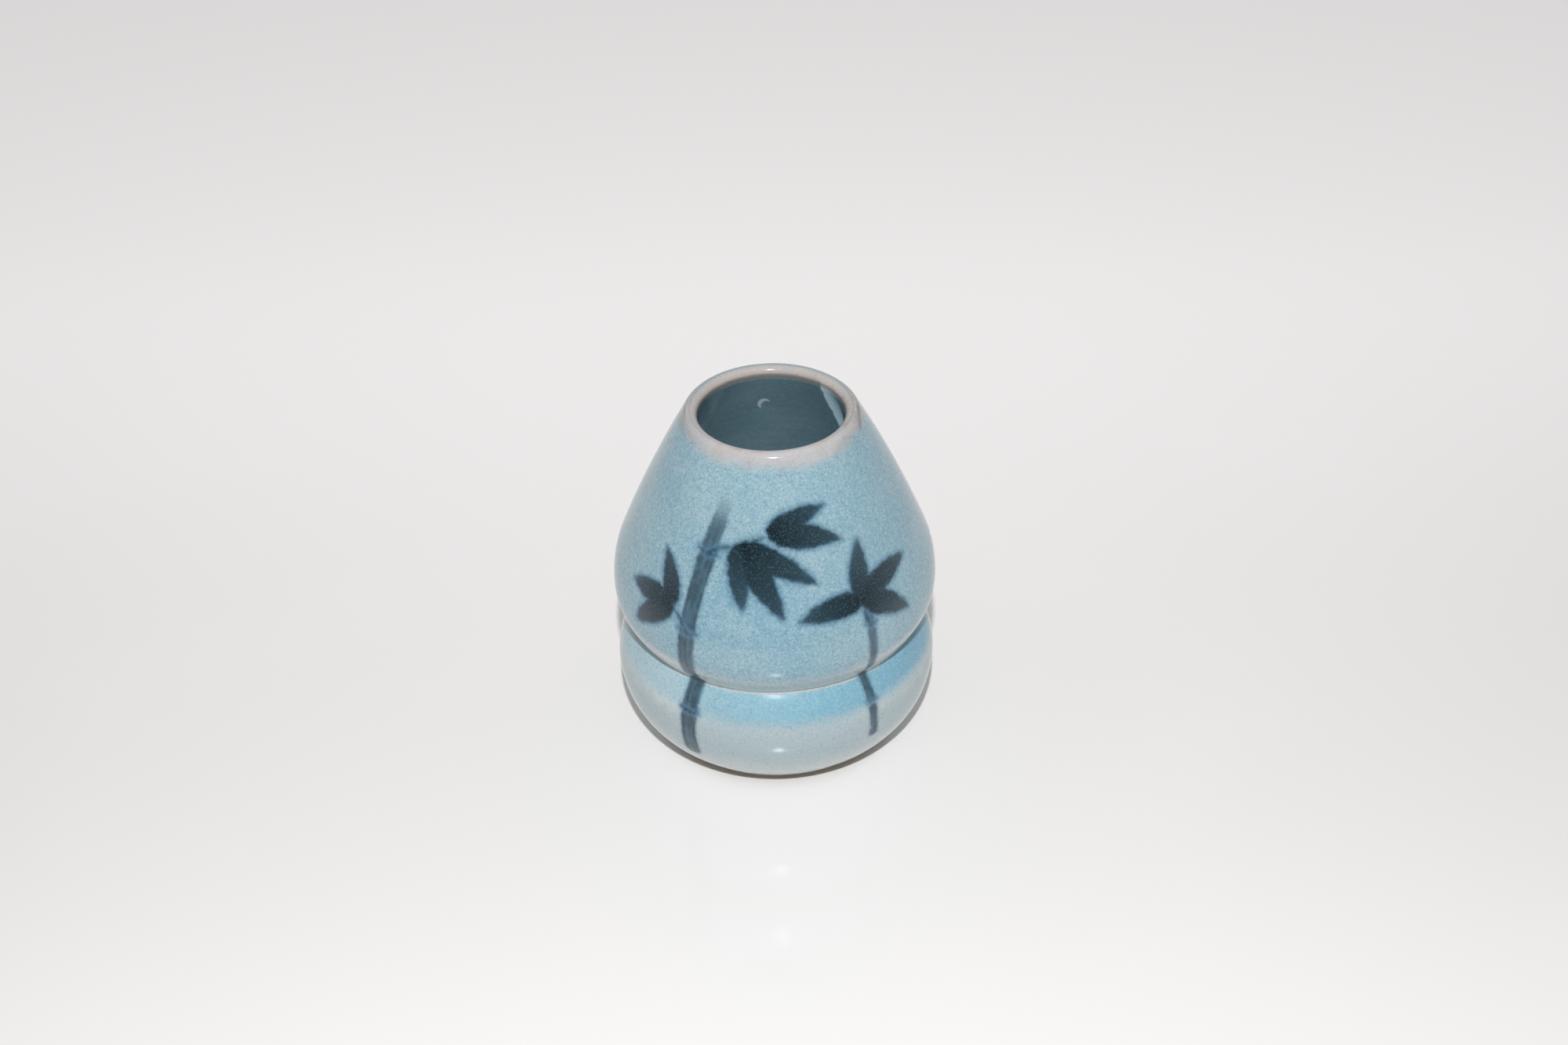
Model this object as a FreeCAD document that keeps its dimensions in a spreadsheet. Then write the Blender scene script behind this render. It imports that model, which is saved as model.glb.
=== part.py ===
# Whisk holder for matcha: a small wheel-thrown stoneware pot that a bamboo whisk dries on.
# The whisk's outer tines spread over the belly and its inner tines hang down through the mouth.
# The pot is one fired piece of clay under two coats of glaze, an outer and an inner one, which
# meet at the crown of the lip. The foot is bare clay.
# Millimetres. +Z is up, and the origin is the centre of the face that the pot stands on.

import FreeCAD, Part

import math
import os
from collections import namedtuple

import Sketcher

# Radii and heights are those of the glazed pot, apart from the foot, which is bare clay.
SIZES = {
    "belly_radius": (33.0, "widest radius of the belly"),
    "waist_depth": (3.9, "how far the waist is drawn in from the belly"),
    "bulge_swell": (3.85, "how far the bulge under the waist stands out from it"),
    "mouth_radius": (14.4, "radius of the throat that the inner tines pass"),
    "bulge_rise": (16.9, "standing face up to the bulge's widest circle"),
    "waist_rise": (9.75, "bulge's widest circle up to the waist"),
    "belly_rise": (9.15, "waist up to the belly's widest circle"),
    "shoulder_rise": (39.2, "belly's widest circle up to the crown of the lip"),
    "lip_width": (3.2, "thickness of the rounded lip"),
    "shoulder_bow": (240.0, "radius of the long, nearly straight shoulder"),
    "belly_round": (24.0, "radius of the belly's upper side"),
    "waist_round": (0.5, "radius of the hollow of the waist"),
    "throat_length": (0.6, "height of the upright throat under the rounded lip"),
    "throat_round": (1.6, "radius of the turn from the throat to the hollow inside"),
    "clay_wall": (3.6, "thickness of the clay wall"),
    "clay_floor": (4.6, "thickness of the clay floor over the recess"),
    "glaze_coat": (0.45, "thickness of each coat of glaze"),
    "foot_height": (1.2, "height of the foot ring's outer side"),
    "foot_inset": (10.6, "how far the foot ring stands in from the bulge"),
    "foot_step": (0.9, "width of the step from the foot ring out to the bulge's underside"),
    "foot_width": (3.4, "width of the face that the pot stands on"),
    "foot_edge": (0.4, "radius worn on the edges of the foot ring"),
    "recess_depth": (1.6, "depth of the turned recess inside the foot ring"),
    "bare_band": (1.0, "height of bare clay between the foot's step and the outer glaze"),
}
SHEET = "Sizes"

# Points of a drawn line or arc, and the section's own origin and axes.
START, END, CENTRE = 1, 2, 3
ORIGIN = (-1, 1)
GROUND = -1
UPRIGHT = -2

# Arcs of the outside from the lip down to the foot, with the ends at which each meets the next.
JOINTS = (
    ("lip", START, "bow", END),
    ("bow", START, "belly", END),
    ("belly", START, "under", END),
    ("under", START, "waist", START),
    ("waist", END, "bulge", END),
    ("bulge", START, "foot", END),
)
INSIDE_ARCS = ("belly", "under", "waist", "bulge")


class Size:
    """A length, as its value and as the formula that gives it from the named sizes."""

    def __init__(self, value, formula):
        self.value = value
        self.formula = formula

    def __add__(self, other):
        return Size(self.value + other.value, f"({self.formula} + {other.formula})")

    def __sub__(self, other):
        return Size(self.value - other.value, f"({self.formula} - {other.formula})")

    def half(self):
        return Size(self.value / 2, f"({self.formula} / 2)")


InsideSizes = namedtuple("InsideSizes", "lip_round depth floor_height turn_round")


class Pot:
    """The sizes, and the heights and places that follow from them."""

    def __init__(self, sheet_sizes):
        for name, size in sheet_sizes.items():
            setattr(self, name, size)
        self.waist_radius = self.belly_radius - self.waist_depth
        self.bulge_radius = self.waist_radius + self.bulge_swell
        self.foot_radius = self.bulge_radius - self.foot_inset
        self.step_radius = self.foot_radius + self.foot_step
        self.waist_height = self.bulge_rise + self.waist_rise
        self.belly_height = self.waist_height + self.belly_rise
        self.crown_height = self.belly_height + self.shoulder_rise
        self.lip_round = self.lip_width.half()
        self.lip_across = self.mouth_radius + self.lip_round
        self.lip_height = self.crown_height - self.lip_round
        self.clay_lip_round = self.lip_round - self.glaze_coat
        self.waist_across = self.waist_radius + self.waist_round
        self.glaze_height = self.foot_height + self.bare_band
        wall_depth = self.glaze_coat + self.clay_wall
        floor_height = self.recess_depth + self.clay_floor
        self.clay_inside = InsideSizes(
            self.clay_lip_round, wall_depth, floor_height, self.throat_round - self.glaze_coat
        )
        self.glaze_inside = InsideSizes(
            self.lip_round, wall_depth + self.glaze_coat, floor_height + self.glaze_coat, self.throat_round
        )


class Arc:
    """An arc that turns anticlockwise from its start angle to its end angle, in radians."""

    def __init__(self, centre, radius, start, end, hollow=False):
        self.centre = centre
        self.radius = radius
        self.start = start
        self.end = end
        self.hollow = hollow

    def deeper(self, depth):
        """The arc about the same centre that lies that much deeper in the wall."""
        radius = self.radius + depth if self.hollow else self.radius - depth
        return Arc(self.centre, radius, self.start, self.end, self.hollow)


def make_sheet(doc):
    sheet = doc.addObject("Spreadsheet::Sheet", SHEET)
    for row, (name, (value, meaning)) in enumerate(SIZES.items(), start=1):
        sheet.set(f"A{row}", name)
        sheet.set(f"B{row}", str(value))
        sheet.set(f"C{row}", meaning)
        sheet.setAlias(f"B{row}", name)
    doc.recompute()
    return {name: Size(value, f"{SHEET}.{name}") for name, (value, _) in SIZES.items()}


def direction(start, end):
    return math.atan2(end[1] - start[1], end[0] - start[0])


def left_meeting(centre_a, radius_a, centre_b, radius_b):
    """The point where two circles meet, on the left of the way from the first centre."""
    span = math.dist(centre_a, centre_b)
    along = (radius_a**2 - radius_b**2 + span**2) / (2 * span)
    turn = math.acos(along / radius_a)
    way = direction(centre_a, centre_b) + turn
    return (centre_a[0] + radius_a * math.cos(way), centre_a[1] + radius_a * math.sin(way))


def side_arc(widest, height, waist, waist_round):
    """Centre and radius of the arc that is upright at the widest circle and runs into the waist."""
    across = widest - waist[0]
    rise = height - waist[1]
    radius = (across**2 + rise**2 - waist_round**2) / (2 * (across + waist_round))
    return (widest - radius, height), radius


def outside_arcs(pot):
    """Where the arcs of the glazed outside lie, from the crown of the lip down to the bare band."""
    lip = (pot.lip_across.value, pot.lip_height.value)
    waist = (pot.waist_across.value, pot.waist_height.value)
    belly = (pot.belly_radius.value - pot.belly_round.value, pot.belly_height.value)
    bow_to_lip = pot.shoulder_bow.value - pot.lip_round.value
    bow_to_belly = pot.shoulder_bow.value - pot.belly_round.value
    bow = left_meeting(belly, bow_to_belly, lip, bow_to_lip)
    bow_start, bow_end = direction(bow, belly), direction(bow, lip)

    waist_round = pot.waist_round.value
    under, under_round = side_arc(pot.belly_radius.value, pot.belly_height.value, waist, waist_round)
    bulge, bulge_round = side_arc(pot.bulge_radius.value, pot.bulge_rise.value, waist, waist_round)
    under_turn, bulge_turn = direction(under, waist), direction(bulge, waist)
    reach = (pot.bulge_radius - pot.glaze_coat - pot.step_radius).value
    drop = (pot.bulge_rise - pot.foot_height).value
    foot_round = (reach**2 + drop**2) / (2 * reach) + pot.glaze_coat.value
    foot = (pot.bulge_radius.value - foot_round, pot.bulge_rise.value)
    foot_turn = math.asin((pot.glaze_height.value - foot[1]) / foot_round)
    return {
        "lip": Arc(lip, pot.lip_round.value, bow_end, math.pi / 2),
        "bow": Arc(bow, pot.shoulder_bow.value, bow_start, bow_end),
        "belly": Arc(belly, pot.belly_round.value, 0.0, bow_start),
        "under": Arc(under, under_round, under_turn, 0.0),
        "waist": Arc(waist, waist_round, math.pi + under_turn, math.pi + bulge_turn, hollow=True),
        "bulge": Arc(bulge, bulge_round, 0.0, bulge_turn),
        "foot": Arc(foot, foot_round, foot_turn, 0.0),
    }


class Section:
    """A half section of one sub-part, drawn and dimensioned in its body's own upright plane."""

    def __init__(self, body, name):
        self.sketch = body.newObject("Sketcher::SketchObject", name)
        plane = next(item for item in body.Origin.OriginFeatures if item.Role == "XZ_Plane")
        self.sketch.AttachmentSupport = [(plane, "")]
        self.sketch.MapMode = "FlatFace"

    def draw_arc(self, arc, helper=False):
        upward = FreeCAD.Vector(0, 0, 1)
        circle = Part.Circle(FreeCAD.Vector(*arc.centre, 0), upward, arc.radius)
        return self.sketch.addGeometry(Part.ArcOfCircle(circle, arc.start, arc.end), helper)

    def draw_line(self, start, end):
        line = Part.LineSegment(FreeCAD.Vector(*start, 0), FreeCAD.Vector(*end, 0))
        return self.sketch.addGeometry(line, False)

    def draw_lines(self, *points):
        """Lines from each point to the next, joined end to end."""
        lines = [self.draw_line(start, end) for start, end in zip(points, points[1:])]
        for line, following in zip(lines, lines[1:]):
            self.rule("Coincident", line, END, following, START)
        return lines

    def place(self, piece, point):
        spot = self.sketch.getPoint(piece, point)
        return (spot.x, spot.y)

    def rule(self, kind, *where):
        self.sketch.addConstraint(Sketcher.Constraint(kind, *where))

    def dimension(self, kind, where, size):
        number = self.sketch.addConstraint(Sketcher.Constraint(kind, *where, size.value))
        self.sketch.setExpression(f"Constraints[{number}]", size.formula)

    def across(self, piece, point, size):
        self.dimension("DistanceX", (*ORIGIN, piece, point), size)

    def up(self, piece, point, size):
        self.dimension("DistanceY", (*ORIGIN, piece, point), size)

    def radius(self, piece, size):
        self.dimension("Radius", (piece,), size)

    def link(self, piece, point, other, other_point):
        """A line from one drawn point to another."""
        line = self.draw_line(self.place(piece, point), self.place(other, other_point))
        self.rule("Coincident", line, START, piece, point)
        self.rule("Coincident", line, END, other, other_point)
        return line


def draw_outside(section, pot, arcs, helper):
    """The glazed outside, which carries the dimensions that every surface of the pot follows."""
    drawn = {name: section.draw_arc(arc, helper) for name, arc in arcs.items()}
    for name, point, other, other_point in JOINTS:
        section.rule("Tangent", drawn[name], point, drawn[other], other_point)
    section.across(drawn["lip"], CENTRE, pot.lip_across)
    section.up(drawn["lip"], CENTRE, pot.lip_height)
    section.radius(drawn["lip"], pot.lip_round)
    section.rule("Vertical", drawn["lip"], END, drawn["lip"], CENTRE)
    section.radius(drawn["bow"], pot.shoulder_bow)
    section.across(drawn["belly"], START, pot.belly_radius)
    section.up(drawn["belly"], START, pot.belly_height)
    section.radius(drawn["belly"], pot.belly_round)
    section.rule("Horizontal", drawn["belly"], START, drawn["belly"], CENTRE)
    section.across(drawn["waist"], CENTRE, pot.waist_across)
    section.up(drawn["waist"], CENTRE, pot.waist_height)
    section.radius(drawn["waist"], pot.waist_round)
    section.across(drawn["bulge"], START, pot.bulge_radius)
    section.up(drawn["bulge"], START, pot.bulge_rise)
    section.rule("Horizontal", drawn["bulge"], START, drawn["bulge"], CENTRE)
    section.up(drawn["foot"], START, pot.glaze_height)
    draw_underside(section, pot, arcs["foot"], drawn["foot"])
    return drawn


def draw_underside(section, pot, foot_arc, foot):
    """The clay's own underside, from the bulge to the foot's step, which sets the foot arc's round."""
    clay = section.draw_arc(foot_arc.deeper(pot.glaze_coat.value), helper=True)
    section.rule("Coincident", clay, CENTRE, foot, CENTRE)
    section.rule("Horizontal", clay, END, clay, CENTRE)
    section.across(clay, END, pot.bulge_radius - pot.glaze_coat)
    section.across(clay, START, pot.step_radius)
    section.up(clay, START, pot.foot_height)


def draw_parallel(section, arcs, outside, names, first_radius):
    """A surface that runs parallel to the outside, deeper in the wall."""
    depth = arcs[names[0]].radius - first_radius.value
    drawn = {}
    for name in names:
        drawn[name] = section.draw_arc(arcs[name].deeper(depth))
        section.rule("Coincident", drawn[name], CENTRE, outside[name], CENTRE)
    for name, point, other, other_point in JOINTS:
        if name in drawn and other in drawn:
            section.rule("Tangent", drawn[name], point, drawn[other], other_point)
    section.radius(drawn[names[0]], first_radius)
    return drawn


def draw_throat(section, pot, lip, belly_arc, belly, inside):
    """The upright throat below the lip, its turn outwards, and the shoulder's inside down to the belly."""
    throat_start = section.place(lip, END)
    bow_round = pot.shoulder_bow - inside.depth
    turn_round = inside.turn_round
    turn_centre = (throat_start[0] + turn_round.value, throat_start[1] - pot.throat_length.value)
    bow_centre = left_meeting(
        belly_arc.centre, bow_round.value - belly_arc.radius, turn_centre, bow_round.value + turn_round.value
    )
    bow_start, bow_end = direction(bow_centre, belly_arc.centre), direction(bow_centre, turn_centre)
    throat = section.draw_line(throat_start, (throat_start[0], turn_centre[1]))
    turn = section.draw_arc(Arc(turn_centre, turn_round.value, math.pi, bow_end + math.pi))
    bow = section.draw_arc(Arc(bow_centre, bow_round.value, bow_start, bow_end))
    section.rule("Tangent", throat, START, lip, END)
    section.rule("Vertical", throat)
    section.dimension("DistanceY", (throat, END, throat, START), pot.throat_length)
    section.rule("Tangent", turn, START, throat, END)
    section.radius(turn, turn_round)
    section.rule("Tangent", turn, END, bow, END)
    section.radius(bow, bow_round)
    section.rule("Tangent", bow, START, belly, END)


def draw_floor(section, bulge, height):
    """The round from the wall's inside to the floor, and the floor as far as the axis."""
    wall = section.place(bulge, START)
    corner_round = wall[1] - height.value
    corner_across = wall[0] - corner_round
    corner = section.draw_arc(Arc((corner_across, wall[1]), corner_round, -math.pi / 2, 0.0))
    floor = section.draw_line((corner_across, height.value), (0, height.value))
    section.rule("Horizontal", bulge, START, bulge, CENTRE)
    section.rule("Tangent", corner, END, bulge, START)
    section.rule("Tangent", corner, START, floor, START)
    section.rule("Horizontal", floor)
    section.up(floor, END, height)
    section.rule("PointOnObject", floor, END, UPRIGHT)
    return floor


def draw_inside(section, pot, arcs, outside, lip, inside):
    """The inside of the wall, from the end of the lip through the throat down to the axis."""
    drawn = draw_parallel(section, arcs, outside, INSIDE_ARCS, pot.belly_round - inside.depth)
    draw_throat(section, pot, lip, arcs["belly"].deeper(inside.depth.value), drawn["belly"], inside)
    return draw_floor(section, drawn["bulge"], inside.floor_height)


def draw_foot(section, pot, foot, floor):
    """The step under the bulge, the foot ring with its recess, and the axis up to the floor."""
    ring_inside = pot.foot_radius - pot.foot_width
    step, side, face, recess_side, recess = section.draw_lines(
        section.place(foot, START),
        (pot.foot_radius.value, pot.foot_height.value),
        (pot.foot_radius.value, 0),
        (ring_inside.value, 0),
        (ring_inside.value, pot.recess_depth.value),
        (0, pot.recess_depth.value),
    )
    section.rule("Coincident", step, START, foot, START)
    section.up(foot, START, pot.foot_height)
    for level in (step, face, recess):
        section.rule("Horizontal", level)
    for upright in (side, recess_side):
        section.rule("Vertical", upright)
    section.across(side, END, pot.foot_radius)
    section.across(recess_side, START, ring_inside)
    section.rule("PointOnObject", face, START, GROUND)
    section.up(recess, END, pot.recess_depth)
    section.rule("PointOnObject", recess, END, UPRIGHT)
    section.link(recess, END, floor, END)


def make_body(doc, label):
    body = doc.addObject("PartDesign::Body", label)
    body.Label = label
    body.Placement = FreeCAD.Placement()
    return body


def turn_section(doc, body, section):
    """The solid that the half section sweeps in one full turn about the pot's axis."""
    turned = body.newObject("PartDesign::Revolution", f"{body.Label}_turned")
    turned.Profile = section.sketch
    turned.ReferenceAxis = (section.sketch, ["V_Axis"])
    turned.Angle = 360.0
    section.sketch.Visibility = False
    doc.recompute()
    return turned


def wear_foot(pot, body, turned):
    """Rounds the two edges that the foot ring stands on."""
    worn = body.newObject("PartDesign::Fillet", "worn_foot")
    edges = enumerate(turned.Shape.Edges, start=1)
    standing = [f"Edge{n}" for n, edge in edges if edge.BoundBox.ZMax < pot.foot_edge.value]
    worn.Base = (turned, standing)
    worn.setExpression("Radius", pot.foot_edge.formula)
    body.Tip = worn


def make_stoneware(doc, pot, arcs):
    """The thrown clay: lip, shoulder, belly, waist, bulge, floor and trimmed foot ring."""
    body = make_body(doc, "stoneware_body")
    section = Section(body, "clay_section")
    outside = draw_outside(section, pot, arcs, helper=True)
    lip = arcs["lip"]
    whole_lip = Arc(lip.centre, lip.radius, lip.start, math.pi)
    clay_arcs = {**arcs, "lip": whole_lip}
    clay = draw_parallel(section, clay_arcs, outside, tuple(arcs), pot.clay_lip_round)
    floor = draw_inside(section, pot, arcs, outside, clay["lip"], pot.clay_inside)
    draw_foot(section, pot, clay["foot"], floor)
    turned = turn_section(doc, body, section)
    wear_foot(pot, body, turned)
    return body


def make_outer_glaze(doc, pot, arcs):
    """The outer coat, from the crown of the lip down to the bare band over the foot."""
    body = make_body(doc, "outer_glaze")
    section = Section(body, "outer_glaze_section")
    outside = draw_outside(section, pot, arcs, helper=False)
    clay = draw_parallel(section, arcs, outside, tuple(arcs), pot.clay_lip_round)
    crown = section.link(outside["lip"], END, clay["lip"], END)
    section.rule("Vertical", crown)
    lower_edge = section.link(outside["foot"], START, clay["foot"], START)
    section.rule("PointOnObject", outside["foot"], CENTRE, lower_edge)
    turn_section(doc, body, section)
    return body


def make_inner_glaze(doc, pot, arcs):
    """The inner coat, from the crown of the lip down the throat, the wall and over the floor."""
    body = make_body(doc, "inner_glaze")
    section = Section(body, "inner_glaze_section")
    outside = draw_outside(section, pot, arcs, helper=True)
    ends = []
    for inside in (pot.clay_inside, pot.glaze_inside):
        lip = section.draw_arc(Arc(arcs["lip"].centre, inside.lip_round.value, math.pi / 2, math.pi))
        section.rule("Coincident", lip, CENTRE, outside["lip"], CENTRE)
        section.rule("Vertical", lip, START, lip, CENTRE)
        section.radius(lip, inside.lip_round)
        floor = draw_inside(section, pot, arcs, outside, lip, inside)
        ends.append((lip, floor))
    (clay_lip, clay_floor), (glaze_lip, glaze_floor) = ends
    section.link(clay_lip, START, glaze_lip, START)
    section.link(clay_floor, END, glaze_floor, END)
    turn_section(doc, body, section)
    return body


def check_document(doc, bodies):
    for item in doc.Objects:
        if "Invalid" in item.State or "Error" in item.State:
            raise RuntimeError(f"{item.Name} failed: {item.State}")
        if item.isDerivedFrom("Sketcher::SketchObject") and not item.FullyConstrained:
            raise RuntimeError(f"{item.Name} is not fully dimensioned")
    for body in bodies:
        shape = body.Shape
        if shape.isNull() or not shape.isValid() or len(shape.Solids) != 1:
            raise RuntimeError(f"{body.Label} is not one sound solid")
        print(f"{body.Label}: {shape.Volume:.1f} mm3, top at {shape.BoundBox.ZMax:.2f} mm")


def main():
    doc = FreeCAD.newDocument("whisk_holder")
    pot = Pot(make_sheet(doc))
    arcs = outside_arcs(pot)
    bodies = [make(doc, pot, arcs) for make in (make_stoneware, make_outer_glaze, make_inner_glaze)]
    doc.recompute()
    check_document(doc, bodies)
    os.makedirs("parts", exist_ok=True)
    for body in bodies:
        body.Shape.exportStep(f"parts/{body.Label}.step")


main()
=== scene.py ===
import math
import bpy
import numpy as np
from mathutils import Matrix, Vector


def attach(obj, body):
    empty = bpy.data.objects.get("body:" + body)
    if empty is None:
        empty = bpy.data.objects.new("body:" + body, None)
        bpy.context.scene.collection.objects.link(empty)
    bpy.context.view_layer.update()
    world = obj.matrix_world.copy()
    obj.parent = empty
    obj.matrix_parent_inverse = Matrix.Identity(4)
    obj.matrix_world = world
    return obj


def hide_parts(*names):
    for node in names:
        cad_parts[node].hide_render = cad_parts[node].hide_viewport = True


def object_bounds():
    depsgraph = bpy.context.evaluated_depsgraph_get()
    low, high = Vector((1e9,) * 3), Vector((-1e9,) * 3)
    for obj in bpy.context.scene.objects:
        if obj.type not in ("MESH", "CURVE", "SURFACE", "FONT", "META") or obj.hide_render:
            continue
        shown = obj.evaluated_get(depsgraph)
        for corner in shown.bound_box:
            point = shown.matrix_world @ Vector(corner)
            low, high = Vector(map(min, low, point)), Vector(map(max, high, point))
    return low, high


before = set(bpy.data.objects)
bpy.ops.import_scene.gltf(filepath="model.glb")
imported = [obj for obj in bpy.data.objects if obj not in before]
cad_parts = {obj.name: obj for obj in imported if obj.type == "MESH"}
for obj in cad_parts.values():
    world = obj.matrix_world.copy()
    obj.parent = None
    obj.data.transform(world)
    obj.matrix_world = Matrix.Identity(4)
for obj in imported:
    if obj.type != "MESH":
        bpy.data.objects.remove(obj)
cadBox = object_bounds()
print("frame loaded")

mm = 0.001


# shader helpers

class Wire:
    # a socket that can be added, multiplied and so on; each step is one Math node
    def __init__(self, recipe, socket):
        self.recipe = recipe
        self.socket = socket

    def step(self, operation, first, second):
        return self.recipe.node("ShaderNodeMath", {"operation": operation}, {0: first, 1: second})

    def __add__(self, other):
        return self.step("ADD", self, other)

    def __radd__(self, other):
        return self.step("ADD", other, self)

    def __sub__(self, other):
        return self.step("SUBTRACT", self, other)

    def __rsub__(self, other):
        return self.step("SUBTRACT", other, self)

    def __mul__(self, other):
        return self.step("MULTIPLY", self, other)

    def __rmul__(self, other):
        return self.step("MULTIPLY", other, self)

    def __pow__(self, other):
        return self.step("POWER", self, other)


class Recipe:
    # a material or world, written node by node
    def __init__(self, owner):
        owner.use_nodes = True
        self.tree = owner.node_tree
        self.tree.nodes.clear()

    def node(self, kind, settings=None, values=None, out=0):
        n = self.tree.nodes.new(kind)
        n.location = (180 * (len(self.tree.nodes) % 12), -160 * (len(self.tree.nodes) // 12))
        for key, value in (settings or {}).items():
            setattr(n, key, value)
        for key, value in (values or {}).items():
            if isinstance(value, Wire):
                self.tree.links.new(value.socket, n.inputs[key])
            else:
                n.inputs[key].default_value = value
        return Wire(self, n.outputs[out]) if len(n.outputs) else None

    def place(self, out="Object"):
        return self.node("ShaderNodeTexCoord", out=out)

    def noise(self, where, kind):
        # kind names one of the uneven patterns
        width, detail, roughness = uneven[kind]
        return self.node("ShaderNodeTexNoise", {"noise_dimensions": "3D"},
                         {"Vector": where, "Scale": 1 / (width * mm),
                          "Detail": detail, "Roughness": roughness})

    def ease(self, value, low, high, toLow=0.0, toHigh=1.0):
        return self.node("ShaderNodeMapRange", {"interpolation_type": "SMOOTHSTEP"},
                         {"Value": value, "From Min": low, "From Max": high,
                          "To Min": toLow, "To Max": toHigh})

    def mix(self, first, second, factor):
        return self.node("ShaderNodeMix", {"data_type": "RGBA", "blend_type": "MIX"},
                         {0: factor, 6: first, 7: second}, out=2)

    def split(self, vector, out):
        return self.node("ShaderNodeSeparateXYZ", values={0: vector}, out=out)

    def millimetres(self, where):
        return [self.split(where, axis) * (1 / mm) for axis in range(3)]


def tone(red, green, blue):
    # screen values 0..255 to the linear colour that a socket takes
    def linear(v):
        v = v / 255
        return v / 12.92 if v <= 0.04045 else ((v + 0.055) / 1.055) ** 2.4
    return (linear(red), linear(green), linear(blue), 1.0)


uneven = {            # width of one blotch in millimetres, detail, roughness
    "fine": (0.36, 1, 0.5), "grain": (0.8, 2, 0.6), "edge": (1.1, 2, 0.6), "wander": (3.2, 3, 0.6),
    "drift": (24.0, 2, 0.5), "cloud": (9.0, 3, 0.55), "ripple": (7.0, 2, 0.5),
    "lipBlotch": (4.5, 3, 0.6), "lipBrown": (2.4, 3, 0.6), "slate": (14.0, 2, 0.5),
    "inkFray": (1.9, 3, 0.6), "washFray": (1.5, 2, 0.5), "mottle": (2.6, 3, 0.6), "streak": (1000.0, 3, 0.6),
    "clayCloud": (6.0, 4, 0.6), "claySpeck": (0.5, 2, 0.5), "clayFlash": (2.5, 2, 0.5),
    "grit": (0.35, 3, 0.7), "board": (60.0, 3, 0.5),
}


# the pot's section in millimetres, from the frame's box and the solids' sizes

pot = {
    "bellyRadius": round(cadBox[1][0] / mm, 3), "crownHeight": round(cadBox[1][2] / mm, 3),
    "waistDepth": 3.9, "bulgeSwell": 3.85, "bulgeHeight": 16.9, "waistRise": 9.75, "bellyRise": 9.15,
    "bellyRound": 24.0, "waistRound": 0.5, "shoulderBow": 240.0,
    "mouthRadius": 14.4, "lipRound": 1.6, "throatLength": 0.6, "throatRound": 1.6,
    "coat": 0.45, "clayWall": 3.6, "clayFloor": 4.6, "recess": 1.6,
    "footInset": 10.6, "footStep": 0.9, "footHeight": 1.2, "bareBand": 1.0,
    "waistDeeper": 0.1,     # cut in past the solid, so that the lamp glints under the belly
}
pot["waistRadius"] = pot["bellyRadius"] - pot["waistDepth"] - pot["waistDeeper"]
pot["bulgeRadius"] = pot["bellyRadius"] - pot["waistDepth"] + pot["bulgeSwell"]
pot["waistHeight"] = pot["bulgeHeight"] + pot["waistRise"]
pot["bellyHeight"] = pot["waistHeight"] + pot["bellyRise"]
pot["stepRadius"] = pot["bulgeRadius"] - pot["footInset"] + pot["footStep"]
pot["glazeHeight"] = pot["footHeight"] + pot["bareBand"]
pot["wall"] = pot["clayWall"] + 2 * pot["coat"]
pot["glazedFloor"] = pot["recess"] + pot["clayFloor"] + pot["coat"]


def meetingAngle(fromCentre, toCentre):
    return math.atan2(toCentre[1] - fromCentre[1], toCentre[0] - fromCentre[0])


def leftMeeting(centreA, radiusA, centreB, radiusB):
    # where two circles meet, on the left of the way from the first centre
    gap = math.dist(centreA, centreB)
    turn = math.acos((radiusA ** 2 - radiusB ** 2 + gap ** 2) / (2 * gap * radiusA))
    way = meetingAngle(centreA, centreB) + turn
    return (centreA[0] + radiusA * math.cos(way), centreA[1] + radiusA * math.sin(way))


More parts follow.
